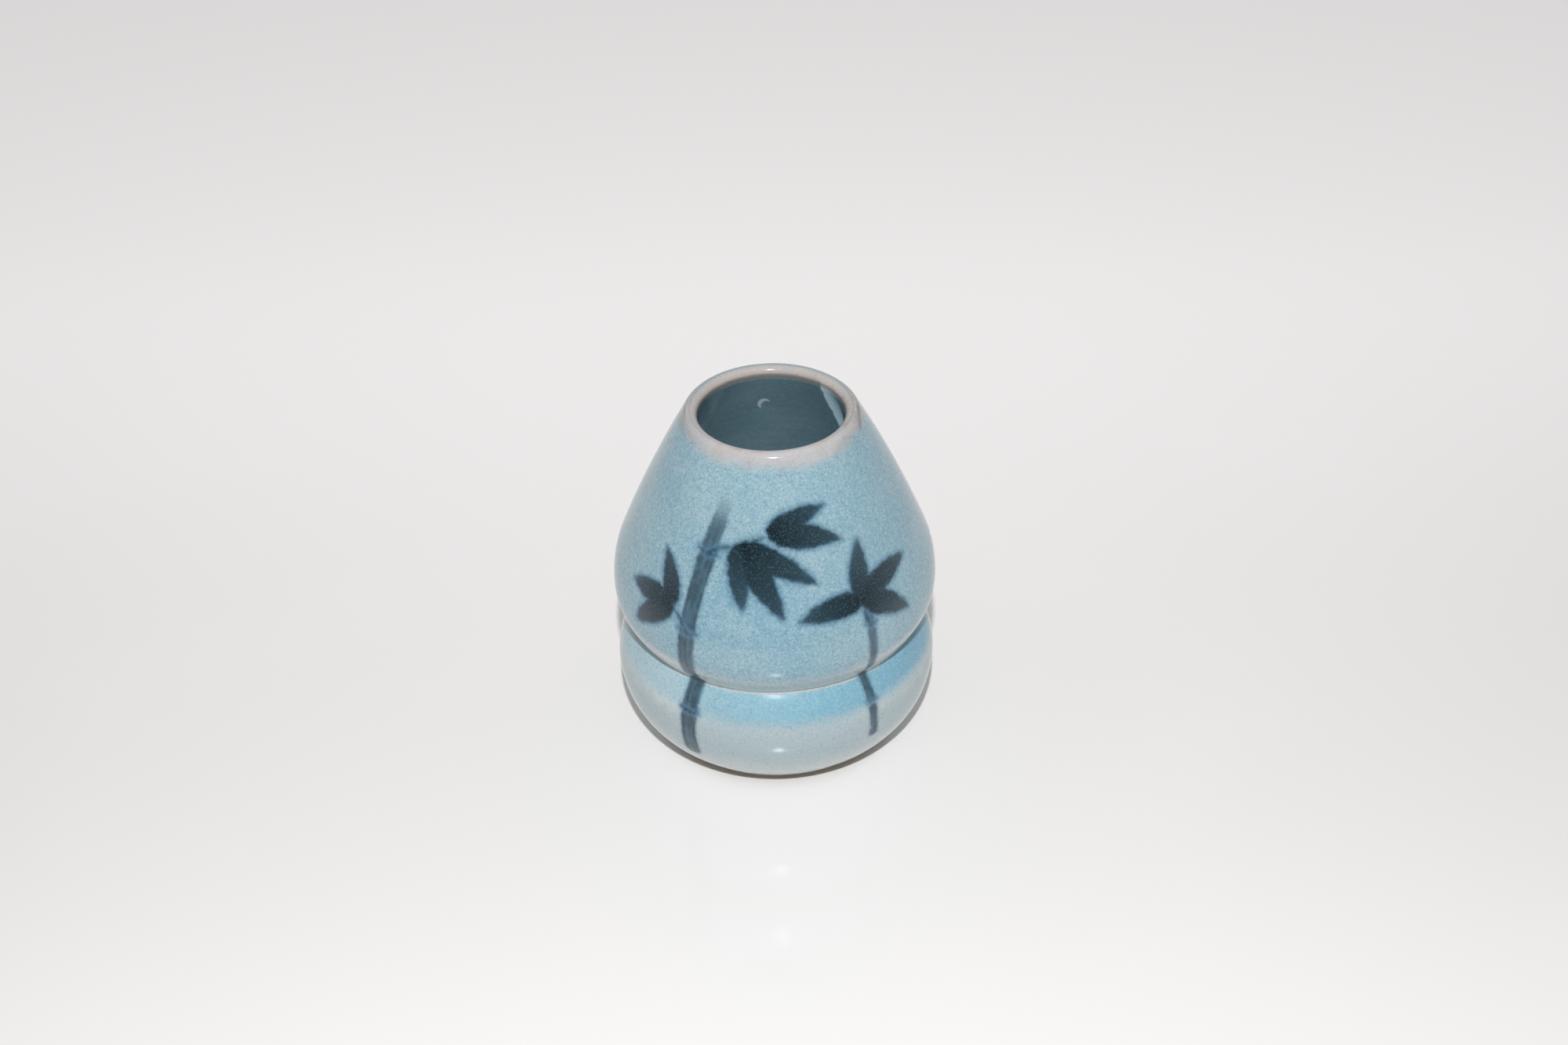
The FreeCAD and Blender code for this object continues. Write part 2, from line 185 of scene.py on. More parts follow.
def outsideArcs():
    # (centre across, centre up, radius, first and last angle of the normal); a hollow has a negative radius
    belly = (pot["bellyRadius"] - pot["bellyRound"], pot["bellyHeight"])
    lip = (pot["mouthRadius"] + pot["lipRound"], pot["crownHeight"] - pot["lipRound"])
    bow = leftMeeting(belly, pot["shoulderBow"] - pot["bellyRound"],
                      lip, pot["shoulderBow"] - pot["lipRound"])
    lipTurn, bellyTurn = meetingAngle(bow, lip), meetingAngle(bow, belly)

    hollow = (pot["waistRadius"] + pot["waistRound"], pot["waistHeight"])

    def neck(widest, rise):
        # radius of the arc that is upright at the widest radius and touches the hollow
        reach = widest - hollow[0]
        return (reach ** 2 + rise ** 2 - pot["waistRound"] ** 2) / (2 * (reach + pot["waistRound"]))

    underRound = neck(pot["bellyRadius"], pot["bellyHeight"] - pot["waistHeight"])
    bulgeRound = neck(pot["bulgeRadius"], pot["waistHeight"] - pot["bulgeHeight"])
    under = (pot["bellyRadius"] - underRound, pot["bellyHeight"])
    bulge = (pot["bulgeRadius"] - bulgeRound, pot["bulgeHeight"])
    underTurn, bulgeTurn = meetingAngle(under, hollow), meetingAngle(bulge, hollow)

    # the arc down to the foot's step passes through the step's edge
    drop = pot["bulgeHeight"] - pot["footHeight"]
    run = pot["bulgeRadius"] - pot["coat"] - pot["stepRadius"]
    footRound = (drop ** 2 + run ** 2) / (2 * run) + pot["coat"]
    foot = (pot["bulgeRadius"] - footRound, pot["bulgeHeight"])
    footTurn = -math.asin((pot["bulgeHeight"] - pot["glazeHeight"]) / footRound)

    return {
        "lip": (*lip, pot["lipRound"], math.pi / 2, lipTurn),
        "bow": (*bow, pot["shoulderBow"], lipTurn, bellyTurn),
        "belly": (*belly, pot["bellyRound"], bellyTurn, 0.0),
        "under": (*under, underRound, 0.0, underTurn),
        "hollow": (*hollow, -pot["waistRound"], underTurn, bulgeTurn),
        "bulge": (*bulge, bulgeRound, bulgeTurn, 0.0),
        "foot": (*foot, footRound, 0.0, footTurn),
    }


def arcLine(row, deeper, spacing, least):
    # points along a row of tangent arcs; deeper is how far under the outside they lie
    samePlace = 1e-4
    line = []
    for across, up, radius, first, last in row:
        r = radius - deeper
        steps = max(least, math.ceil(abs(r * (last - first)) / spacing))
        for k in range(steps + 1):
            a = first + (last - first) * k / steps
            point = (across + r * math.cos(a), up + r * math.sin(a))
            if not line or math.dist(point, line[-1]) > samePlace:
                line.append(point)
    return line


def throatAndWall(deeper, spacing, least):
    # the inside from the crown to the middle of the floor; deeper goes into the clay
    lip, belly = arcs["lip"], arcs["belly"]
    turnCentre = (pot["mouthRadius"] + pot["throatRound"], lip[1] - pot["throatLength"])
    bowRound = pot["shoulderBow"] - pot["wall"]
    bow = leftMeeting(belly[:2], bowRound - (pot["bellyRound"] - pot["wall"]),
                      turnCentre, bowRound + pot["throatRound"])
    turn, bellyTurn = meetingAngle(bow, turnCentre), meetingAngle(bow, belly)
    line = arcLine([(lip[0], lip[1], pot["lipRound"], math.pi / 2, math.pi)], deeper, spacing, least)
    line += arcLine([(*turnCentre, pot["throatRound"], math.pi, math.pi + turn)], deeper, spacing, least)

    cornerRound = pot["bulgeHeight"] - pot["glazedFloor"]
    cornerAcross = pot["bulgeRadius"] - pot["wall"] - cornerRound
    wall = [(*bow, pot["shoulderBow"], turn, bellyTurn), (*belly[:3], bellyTurn, 0.0),
            arcs["under"], arcs["hollow"], arcs["bulge"]]
    line += arcLine(wall, pot["wall"] - deeper, spacing, least)[1:]
    line += arcLine([(cornerAcross, pot["bulgeHeight"], cornerRound + deeper, 0.0, -math.pi / 2)],
                    0.0, spacing, least)[1:]

    floorHeight = pot["glazedFloor"] - deeper
    steps = max(2, math.ceil(cornerAcross / (turning["floorPitches"] * spacing)))
    line += [(cornerAcross * (1 - k / steps), floorHeight) for k in range(1, steps + 1)]
    return line


# turning a closed section into a shell

turning = {           # millimetres and degrees
    "stepsRound": 400, "finePitch": 0.5, "insidePitch": 0.62, "coarsePitch": 3.0, "floorPitches": 2.5,
    "weld": 0.002, "sharpFrom": 38.0,
    "wobble": 0.26, "wobbleSize": 26.0,
    "rings": 0.02, "ringPitch": 2.9, "ringsFrom": 9.0, "ringsTo": 66.0, "ringsFade": 3.0, "ringsClear": 6.0,
    "crownNudge": 0.7, "rollWidth": 0.55, "rollSteps": 8, "rollClear": 0.6,
}


def turnedShell(name, line):
    bpy.ops.object.select_all(action="DESELECT")
    bpy.ops.mesh.primitive_plane_add(size=2 * mm, location=(0, 0, 0))
    shell = bpy.context.object
    shell.name = name
    shell.data.name = name
    bpy.ops.object.mode_set(mode="EDIT")
    bpy.ops.mesh.select_mode(type="VERT")
    bpy.ops.mesh.select_all(action="SELECT")
    bpy.ops.mesh.merge(type="CENTER")
    bpy.ops.transform.translate(value=(line[0][0] * mm, 0, line[0][1] * mm))
    for (r0, z0), (r1, z1) in zip(line, line[1:]):
        step = ((r1 - r0) * mm, 0, (z1 - z0) * mm)
        bpy.ops.mesh.extrude_region_move(TRANSFORM_OT_translate={"value": step})
    bpy.ops.mesh.select_all(action="SELECT")
    bpy.ops.mesh.remove_doubles(threshold=turning["weld"] * mm)
    bpy.ops.object.mode_set(mode="OBJECT")

    wheel = shell.modifiers.new("wheel", "SCREW")
    wheel.axis = "Z"
    wheel.angle = 2 * math.pi
    wheel.steps = wheel.render_steps = turning["stepsRound"]
    wheel.use_merge_vertices = True
    wheel.merge_threshold = turning["weld"] * mm
    bpy.ops.object.modifier_apply(modifier=wheel.name)
    bpy.ops.object.mode_set(mode="EDIT")
    bpy.ops.mesh.select_all(action="SELECT")
    bpy.ops.mesh.remove_doubles(threshold=turning["weld"] * mm)
    bpy.ops.mesh.normals_make_consistent(inside=False)
    bpy.ops.object.mode_set(mode="OBJECT")

    # hands and kiln: a slow unevenness, always inwards, the same field for both coats
    unevenness = bpy.data.textures.get("handUnevenness") or bpy.data.textures.new("handUnevenness", "CLOUDS")
    unevenness.noise_scale = turning["wobbleSize"] * mm
    unevenness.noise_depth = 1
    push = shell.modifiers.new("unevenness", "DISPLACE")
    push.texture = unevenness
    push.texture_coords = "LOCAL"
    push.direction = "NORMAL"
    push.mid_level = 1.0
    push.strength = turning["wobble"] * mm
    bpy.ops.object.modifier_apply(modifier=push.name)
    bpy.ops.object.shade_smooth_by_angle(angle=math.radians(turning["sharpFrom"]))
    return shell


def throwingRings(line):
    # a soft ripple along the inner wall
    out, run = [], 0.0
    for k, (r, z) in enumerate(line):
        if k:
            run += math.dist(line[k - 1], line[k])
        fadeIn = (z - turning["ringsFrom"]) / turning["ringsFade"]
        fadeOut = (turning["ringsTo"] - z) / turning["ringsFade"]
        fade = max(0.0, min(1.0, fadeIn, fadeOut)) if r > turning["ringsClear"] else 0.0
        wave = (1 - math.cos(2 * math.pi * run / turning["ringPitch"])) / 2
        out.append((r - fade * turning["rings"] * wave, z))
    return out


def rolledEdge():
    # the glaze's rounded end above the foot, from its face back to the clay
    across, up, radius, _, last = arcs["foot"]
    points = []
    for k in range(1, turning["rollSteps"] + 1):
        turn = math.pi / 2 * k / turning["rollSteps"]
        a = last + turning["rollWidth"] / radius * (math.sin(turn) - 1)
        r = radius - pot["coat"] * (1 - math.cos(turn))
        points.append((across + r * math.cos(a), up + r * math.sin(a)))
    return points


def crownSide(side):
    # a point close beside the crown, so that both coats leave it level; side is 1 outwards and -1 inwards
    across, up, radius = arcs["lip"][:3]
    nudge = math.radians(turning["crownNudge"])
    return (across + side * radius * math.sin(nudge), up + radius * math.cos(nudge))


print("turning the glaze coats")
arcs = outsideArcs()
outsideRow = list(arcs.values())

# outer coat: down the outside, round its rolled end above the foot, back up against the clay
outside = arcLine(outsideRow, 0.0, turning["finePitch"], 12)
shown = [p for p in outside if p[1] > pot["glazeHeight"] + turning["rollClear"]]
hidden = arcLine(outsideRow, pot["coat"], turning["coarsePitch"], 6)[::-1]
outerLine = [outside[0], crownSide(1), *shown[1:], *rolledEdge(), *hidden[1:], outside[0]]
outerGlazeCoat = turnedShell("outerGlazeCoat", outerLine)
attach(outerGlazeCoat, "root")
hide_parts("outer_glaze")

# inner coat: over the crown, down the throat and wall to the middle of the floor, back up against the clay
inside = throwingRings(throatAndWall(0.0, turning["insidePitch"], 10))
behind = throatAndWall(pot["coat"], turning["coarsePitch"], 6)[::-1]
innerLine = [inside[0], crownSide(-1), *inside[1:], *behind, inside[0]]
innerGlazeCoat = turnedShell("innerGlazeCoat", innerLine)
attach(innerGlazeCoat, "root")
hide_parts("inner_glaze")


# brushwork: bamboo, painted under the glaze as distances to its strokes

brushwork = {         # half widths and lengths in millimetres, then shares of a width or a load
    "stalk": 2.0, "slimStalk": 1.15, "twig": 0.34, "leaf": 2.4, "hook": 0.4, "hookedStalk": 1.7,
    "nodeGap": 1.0, "stepLength": 0.35, "linePitch": 0.25, "margin": 5.0, "clear": -3.0,
    "leafSwell": 0.62, "leafFullness": 0.9, "leafDries": 0.2, "twigTaper": (1.25, 0.8),
    "hookTaper": (1.0, 0.7), "hookReach": 1.1, "hookBend": 28.0, "hookLoad": 0.9,
    "jointMiddle": 0.9, "jointFlare": 0.12, "jointEnds": 0.4, "jointDries": 0.95, "lastJoint": (0.95, 0.63),
}

meridian = np.array(arcLine(outsideRow, 0.0, brushwork["linePitch"], 12))[::-1]     # foot to crown
meridianRun = np.concatenate([[0], np.cumsum(np.hypot(*np.diff(meridian, axis=0).T))])


def walk(azimuth, height, heading, length, bend):
    # a line over the surface, with heading 0 to the right and 90 up as seen from outside
    run, turn = float(np.interp(height, meridian[:, 1], meridianRun)), math.radians(azimuth)
    steps = max(4, round(length / brushwork["stepLength"]))
    places = []
    for k in range(steps + 1):
        r = float(np.interp(run, meridianRun, meridian[:, 0]))
        z = float(np.interp(run, meridianRun, meridian[:, 1]))
        places.append((r * math.cos(turn), r * math.sin(turn), z))
        h = math.radians(heading + bend * k / steps)
        turn += math.cos(h) * length / steps / r
        run += math.sin(h) * length / steps
    end = (math.degrees(turn), float(np.interp(run, meridianRun, meridian[:, 1])))
    return np.array(places), end


strokes = []          # (points, half widths, kind, load)


def leaf(azimuth, height, heading, length, bend=12.0, width=1.0, load=1.0):
    # narrow where it leaves the twig, broad a third of the way along, then a long point
    places, _ = walk(azimuth, height, heading, length, bend)
    t = np.linspace(0, 1, len(places))
    swell = 1 - (2 * t ** brushwork["leafSwell"] - 1) ** 2
    widths = brushwork["leaf"] * width * swell ** brushwork["leafFullness"]
    strokes.append((places, widths, "ink", load * (1 - brushwork["leafDries"] * t)))


def twig(azimuth, height, heading, length, bend=0.0, width=1.0, load=0.85):
    places, end = walk(azimuth, height, heading, length, bend)
    widths = brushwork["twig"] * width * np.linspace(*brushwork["twigTaper"], len(places))
    strokes.append((places, widths, "ink", load * np.ones(len(places))))
    return end


def stalkHook(place, heading, width):
    # the two dark lines that curl over a node
    for side in (-1, 1):
        length, bend = width * brushwork["hookReach"], brushwork["hookBend"] * side
        hook, _ = walk(*place, heading - 90 * side, length, bend)
        widths = brushwork["hook"] * np.linspace(*brushwork["hookTaper"], len(hook))
        widths *= (width / brushwork["hookedStalk"]) ** 0.5
        strokes.append((hook, widths, "ink", brushwork["hookLoad"] * np.ones(len(hook))))


def stalk(azimuth, height, heading, joints, width, load):
    # jointed lengths with a gap and a dark hooked line at each node; the last one runs dry
    nodes = []
    for number, (length, bend) in enumerate(joints):
        places, end = walk(azimuth, height, heading, length, bend)
        t = np.linspace(-1, 1, len(places))
        flared = brushwork["jointMiddle"] + brushwork["jointFlare"] * np.abs(t) ** 4
        widths = width * flared * np.clip((1 - np.abs(t) ** 24) * 2, brushwork["jointEnds"], 1)
        loads = load * np.ones(len(places))
        if number == len(joints) - 1:
            widths = width * np.linspace(*brushwork["lastJoint"], len(places))
            loads *= np.clip((0.9 - t) / 1.1, 0.0, 1.0)
        strokes.append((places, widths, "wash", loads))
        heading += bend
        if number < len(joints) - 1:
            _, middle = walk(*end, heading, brushwork["nodeGap"] / 2, 0.0)
            stalkHook(middle, heading, width)
            nodes.append(middle)
            _, (azimuth, height) = walk(*end, heading, brushwork["nodeGap"], 0.0)
        load *= brushwork["jointDries"]
    return nodes


tall = stalk(-123, 10.5, 91, [(9.5, -1), (20.5, -2), (15.5, -7), (12.0, -6)], brushwork["stalk"], 0.95)
slim = stalk(-54, 13.5, 90, [(7.0, 0), (20.5, 3), (13.0, 8)], brushwork["slimStalk"], 0.9)

# upper spray, off the tall stalk, hanging to the right over the belly
end = twig(*tall[2], 38, 6.5, -30, 1.3)
leaf(*end, -20, 17.0, -16, 1.1)
leaf(*end, -54, 17.0, -8, 1.2)
leaf(*end, -88, 13.0, 10, 1.05, 0.95)
end = twig(*end, 30, 6.0, -10, 1.1)
leaf(*end, 34, 12.0, -26, 0.95)
leaf(*end, -2, 14.5, -22, 1.1)

# left spray
end = twig(*tall[1], 120, 6.0, 30, 1.2)
leaf(*end, 106, 11.5, 16, 0.95)
leaf(*end, 172, 12.5, 18, 1.05)
leaf(*end, 214, 12.5, 12, 1.1)

# right spray, off the slim stalk
end = twig(*slim[1], 112, 5.5, -24, 1.1)
leaf(*end, 176, 13.5, 22, 1.05)
leaf(*end, 84, 12.5, -12, 0.95, 0.95)
leaf(*end, 26, 14.5, -26, 1.1)
leaf(*end, -24, 13.5, -16, 1.1)


def brushFields(piece):
    # each vertex's depth inside the nearest ink and wash strokes, in mm, and how loaded the brush was
    count = len(piece.data.vertices)
    co = np.empty(count * 3)
    piece.data.vertices.foreach_get("co", co)
    co = co.reshape(-1, 3) / mm
    depths = {kind: np.full(count, brushwork["clear"]) for kind in ("ink", "wash")}
    loads = {kind: np.zeros(count) for kind in depths}
    across = np.zeros(count)
    for places, widths, kind, load in strokes:
        low, high = places.min(0) - brushwork["margin"], places.max(0) + brushwork["margin"]
        near = np.where(((co > low) & (co < high)).all(1))[0]
        if not len(near):
            continue
        apart = np.linalg.norm(co[near, None] - places[None], axis=2)
        depth = widths[None] - apart
        best = depth.argmax(1)
        deepest = depth[np.arange(len(near)), best]
        better = deepest > depths[kind][near]
        chosen = near[better]
        depths[kind][chosen] = deepest[better]
        loads[kind][chosen] = load[best[better]]
        if kind == "wash":
            ahead = places[np.minimum(best + 1, len(places) - 1)] - places[np.maximum(best - 1, 0)]
            ahead /= np.linalg.norm(ahead, axis=1, keepdims=True)
            outward = co[near] * [1, 1, 0]
            outward /= np.linalg.norm(outward, axis=1, keepdims=True) + 1e-9
            sideways = np.cross(ahead, outward)
            across[chosen] = ((co[near] - places[best]) * sideways).sum(1)[better]
    return depths, loads, across


def storeField(piece, name, *parts):
    attribute = piece.data.attributes.new(name, "FLOAT_VECTOR", "POINT")
    attribute.data.foreach_set("vector", np.stack(parts, 1).astype(np.float32).ravel())


depths, loads, across = brushFields(outerGlazeCoat)
storeField(outerGlazeCoat, "brushDepth", depths["ink"], depths["wash"], across)
storeField(outerGlazeCoat, "brushLoad", loads["ink"], loads["wash"], np.zeros(len(across)))
print("brushwork laid,", len(strokes), "strokes")


# glaze

glaze = {
    "blue": tone(146, 179, 192), "deepBlue": tone(134, 173, 190), "paleBlue": tone(160, 188, 199),
    "speckDark": tone(104, 142, 162), "speckLight": tone(186, 206, 212),
    "lip": tone(190, 181, 176), "lipGrey": tone(180, 180, 181), "lipPale": tone(194, 189, 190),
    "lipBrown": tone(140, 124, 108), "lipCool": tone(166, 178, 180), "throatShade": tone(112, 98, 86),
    "pool": tone(136, 186, 205), "poolDeep": tone(116, 171, 195),
    "thinGlazeAndSheen": tone(190, 193, 192), "paintedLight": tone(232, 228, 223), "low": tone(170, 187, 192),
    "paintedLightBase": tone(204, 211, 211),
    "slate": tone(130, 163, 176), "slateDeep": tone(112, 147, 160),
    "tealRunAndLight": tone(186, 220, 232), "bubbleGlint": tone(214, 232, 238),
    "ink": tone(17, 32, 38), "inkBlue": tone(32, 60, 76), "inkFleck": tone(70, 95, 104),
    "halo": tone(84, 126, 152), "wash": tone(34, 57, 70), "washLight": tone(66, 97, 117),
    "ior": 1.56, "smooth": 0.13, "dull": 0.17, "lipSmoother": 0.04, "ripple": 0.08, "rippleHeight": 0.4,
}

bands = {             # heights where a band begins and is full, how far its edge wanders, its strength
    "thinGlazeAndSheen": (34.0, 29.5, 2.0, 0.8), "paintedLightSides": (34.0, 30.5, 1.5, 0.8),
    "creaseLitTop": (30.0, 27.6, 1.2, 0.45), "creaseLitFoot": (25.9, 26.5, 0.0, 1.0),
    "low": (22.8, 17.8, 5.0, 0.92), "paintedLightBase": (14.0, 6.0, 4.0, 0.8),
    "poolFoot": (18.6, 23.0, 2.4, 1.0), "poolTop": (26.7, 25.9, 0.6, 1.0),
    "coolNeck": (70.0, 73.0, 0.0, 0.9), "lip": (71.1, 74.0, 1.4, 1.0), "stain": (72.0, 73.0, 0.0, 0.75),
    "run": (57.0, 62.0, 0.0, 1.0), "shade": (58.0, 65.0, 0.0, 0.5),
    "throatTop": (73.9, 73.2, 0.4, 1.0), "throatFoot": (72.2, 72.8, 0.4, 0.7),
    "innerLip": (72.8, 73.4, 0.4, 1.0),
}


def band(recipe, name, height, wander=0.0):
    begins, full, stray, strength = bands[name]
    return recipe.ease(height + wander * stray, begins, full) * strength


def speckle(recipe, ground, where, strength):
    # grains of glaze, the finest about two tenths of a millimetre
    fine = recipe.noise(where, "fine")
    grain = recipe.noise(where, "grain")
    for noise, share in ((fine, strength * 0.5), (grain, strength * 0.34)):
        ground = recipe.mix(ground, glaze["speckDark"], recipe.ease(noise, 0.52, 0.74) * share)
        ground = recipe.mix(ground, glaze["speckLight"], recipe.ease(noise, 0.48, 0.26) * share)
    return ground, grain


def lipGround(recipe, where, across, deep):
    # where the glaze ran thin over the lip: pinkish tan, greyer in blotches, browner on one side
    blotch = recipe.noise(where, "lipBlotch")
    grey = recipe.mix(glaze["lipGrey"], glaze["lipPale"], recipe.ease(deep, -6.0, -14.0))
    greyed = recipe.ease(blotch + recipe.ease(deep, 4.0, -14.0) * 0.14, 0.48, 0.68)
    ground = recipe.mix(glaze["lip"], grey, greyed)
    browned = recipe.ease(across, 5.0, 15.0) * recipe.ease(recipe.noise(where, "lipBrown"), 0.46, 0.66)
    ground = recipe.mix(ground, glaze["lipBrown"], browned * 0.35)
    radius = (across * across + deep * deep) ** 0.5
    cool = recipe.ease(radius, 15.1, 16.0) * recipe.ease(deep, 1.0, 8.0) * 0.9
    ground = recipe.mix(ground, glaze["lipCool"], cool)
    return speckle(recipe, ground, where, 0.35)[0]


def coatShader(recipe, where, ground, grain, rim, facing=None):
    ripple = recipe.noise(where, "ripple") + grain * 0.02
    relief = {"Strength": glaze["ripple"], "Distance": glaze["rippleHeight"] * mm, "Height": ripple}
    if facing:
        relief["Normal"] = facing
    bump = recipe.node("ShaderNodeBump", None, relief)
    roughness = recipe.ease(grain, 0.3, 0.7, glaze["smooth"], glaze["dull"]) - rim * glaze["lipSmoother"]
    shader = recipe.node("ShaderNodeBsdfPrincipled", None, {
        "Base Color": ground, "Roughness": roughness, "IOR": glaze["ior"], "Normal": bump})
    recipe.node("ShaderNodeOutputMaterial", None, {"Surface": shader})


def glazeOutside(r, where, across, height, wander):
    # blue and clouded, thinner under the belly and painted paler there as a painted reflection of the
    # floor's bounced light, pooled below the crease, greyer low down
    ground = r.mix(glaze["blue"], glaze["deepBlue"], r.ease(r.noise(where, "drift"), 0.42, 0.68))
    ground = r.mix(ground, glaze["paleBlue"], r.ease(r.noise(where, "cloud"), 0.46, 0.7) * 0.6)
    # thinner glaze under the belly, painted paler as well: a painted reflection of light bounced up from the
    # floor
    ground = r.mix(ground, glaze["thinGlazeAndSheen"], band(r, "thinGlazeAndSheen", height, wander))
    # painted light: the underside is made paler towards the sides, where the lamp leaves it in shade
    toSides = r.ease(across * across, 80.0, 450.0)
    ground = r.mix(ground, glaze["paintedLight"], toSides * band(r, "paintedLightSides", height, wander))
    # painted light: the crease is made pale to lift the shade that falls in it
    crease = band(r, "creaseLitTop", height, wander) * band(r, "creaseLitFoot", height)
    ground = r.mix(ground, glaze["paintedLight"], crease)
    ground = r.mix(ground, glaze["low"], band(r, "low", height, wander))
    # painted light: paler towards the foot, lifting the shade near the floor
    ground = r.mix(ground, glaze["paintedLightBase"], band(r, "paintedLightBase", height, wander))
    pooled = band(r, "poolFoot", height, wander) * band(r, "poolTop", height, wander)
    pool = r.mix(glaze["pool"], glaze["poolDeep"], r.ease(across, 0.0, 25.0))
    return r.mix(ground, pool, pooled * r.ease(across, -30.0, 10.0, 0.65, 0.95))


def brushedOver(r, ground, where, height, grain):
    # washes first, then the ink over them; both fray at their edges and let flecks of glaze through
    depth = r.node("ShaderNodeAttribute", {"attribute_name": "brushDepth"}, out="Vector")
    load = r.node("ShaderNodeAttribute", {"attribute_name": "brushLoad"}, out="Vector")
    inkLoad, washLoad = r.split(load, 0), r.split(load, 1)
    ink = r.split(depth, 0) + (r.noise(where, "inkFray") - 0.5) * 1.2 + (grain - 0.5) * 0.5
    wash = r.split(depth, 1) + (r.noise(where, "washFray") - 0.5) * 0.5 + (grain - 0.5) * 0.4
    alongStroke = r.node("ShaderNodeCombineXYZ", values={0: r.split(depth, 2) * 0.8, 1: height * 0.05})
    streak = r.noise(alongStroke, "streak")
    fleck = r.ease(r.noise(where, "fine"), 0.48, 0.76)
    mottle = r.noise(where, "mottle") - 0.5

    ground = r.mix(ground, glaze["halo"], r.ease(wash, -0.9, 0.3) * 0.45 * washLoad)
    washColour = r.mix(glaze["washLight"], glaze["wash"], r.ease(streak + mottle * 0.6, 0.34, 0.6))
    washColour = r.mix(washColour, glaze["inkFleck"], fleck * 0.4)
    ground = r.mix(ground, washColour, r.ease(wash, -0.3, 0.5) * washLoad)

    ground = r.mix(ground, glaze["halo"], r.ease(ink, -1.2, 0.2) * 0.7)
    inkColour = r.mix(glaze["inkBlue"], glaze["ink"], r.ease(ink + mottle * 2.4, 0.0, 1.0))
    inkColour = r.mix(inkColour, glaze["inkFleck"], fleck * 0.6)
    return r.mix(ground, inkColour, r.ease(ink, -0.3, 0.5) * inkLoad)


def outerGlazeMaterial():
    material = bpy.data.materials.new("outerGlaze")
    r = Recipe(material)
    where = r.place()
    across, deep, height = r.millimetres(where)
    wander = r.noise(where, "wander") - 0.5
    ground = glazeOutside(r, where, across, height, wander)
    ground, grain = speckle(r, ground, where, r.ease(height, 18.0, 34.0, 0.55, 1.12))

    # the lip, which comes lower in front, and a brown stain on its right side
    edge = r.noise(where, "edge") - 0.5
    rim = band(r, "lip", height + edge * 1.8 - r.ease(deep, -14.0, -3.0) * 1.1, wander)
    ground = r.mix(ground, glaze["lipCool"], band(r, "coolNeck", height) * r.ease(deep, 0.0, 8.0))
    ground = r.mix(ground, lipGround(r, where, across, deep), rim * 0.92)
    aside = across + edge * 0.5
    stain = r.ease(aside, 16.4, 16.95) * r.ease(aside, 17.6, 17.25) + r.ease(aside, -16.5, -17.0) * 0.5
    stain = stain * r.ease(deep, -8.0, -4.0) * r.ease(deep, 3.0, 0.0) * band(r, "stain", height)
    ground = r.mix(ground, glaze["lipBrown"], stain)

    ground = brushedOver(r, ground, where, height, grain)
    coatShader(r, where, ground, grain, rim)
    return material


def innerGlazeMaterial():
    material = bpy.data.materials.new("innerGlaze")
    r = Recipe(material)
    where = r.place()
    across, deep, height = r.millimetres(where)
    wander = r.noise(where, "wander") - 0.5
    ground = r.mix(glaze["slate"], glaze["slateDeep"], r.ease(r.noise(where, "slate"), 0.4, 0.66) * 0.7)

    # a brighter run down one side, partly a glaze run and partly a painted pool of light on the wall, and a
    # painted highlight on the rim of a burst bubble beside it
    slant = across * 1.07 - deep
    run = r.ease(slant + wander * 3.4, -0.7, 0.1) * r.ease(deep, 2.0, 7.0) * band(r, "run", height)
    run = run * r.ease(slant, 1.0, 8.0, 1.0, 0.4)
    ground = r.mix(ground, glaze["tealRunAndLight"], run)
    # painted shade: darker down the left wall below the lip
    ground = r.mix(ground, glaze["wash"], r.ease(across, -11.4, -13.2) * band(r, "shade", height))
    # painted highlight: a small lit ring, the glint on a burst bubble's rim
    aside, aloft = across + 1.5 + wander * 0.5, height * 0.8 - 51.2
    outer = (aside * aside + aloft * aloft) ** 0.5
    aside, aloft = aside - 0.5, aloft + 0.55
    hollow = (aside * aside + aloft * aloft) ** 0.5
    bubbleGlint = r.ease(outer, 1.45, 1.15) * r.ease(hollow, 1.05, 1.3) * r.ease(deep, 4.0, 8.0)
    ground, grain = speckle(r, ground, where, 0.4)
    ground = r.mix(ground, glaze["bubbleGlint"], bubbleGlint * 0.95)

    # tan over the lip, then a dark line of painted shade where the throat turns away
    rim = band(r, "innerLip", height, wander)
    ground = r.mix(ground, lipGround(r, where, across, deep), rim)
    turned = band(r, "throatTop", height, wander) * band(r, "throatFoot", height, wander)
    ground = r.mix(ground, glaze["throatShade"], turned)

    # the run stands proud of the wall and turns up to the light
    facing = r.node("ShaderNodeNewGeometry", out="Normal")
    lean = r.node("ShaderNodeVectorMath", {"operation": "SCALE"}, {0: (-0.05, -0.2, 0.3), "Scale": run})
    facing = r.node("ShaderNodeVectorMath", {"operation": "ADD"}, {0: facing, 1: lean})
    facing = r.node("ShaderNodeVectorMath", {"operation": "NORMALIZE"}, {0: facing})
    coatShader(r, where, ground, grain, rim, facing)
    return material


outerGlazeCoat.data.materials.append(outerGlazeMaterial())
innerGlazeCoat.data.materials.append(innerGlazeMaterial())


# bare clay of the foot

clay = {"body": tone(172, 160, 140), "dark": tone(128, 115, 96), "flash": tone(132, 108, 82),
        "relief": 0.5, "reliefHeight": 0.08, "smooth": 0.7, "rough": 0.9}


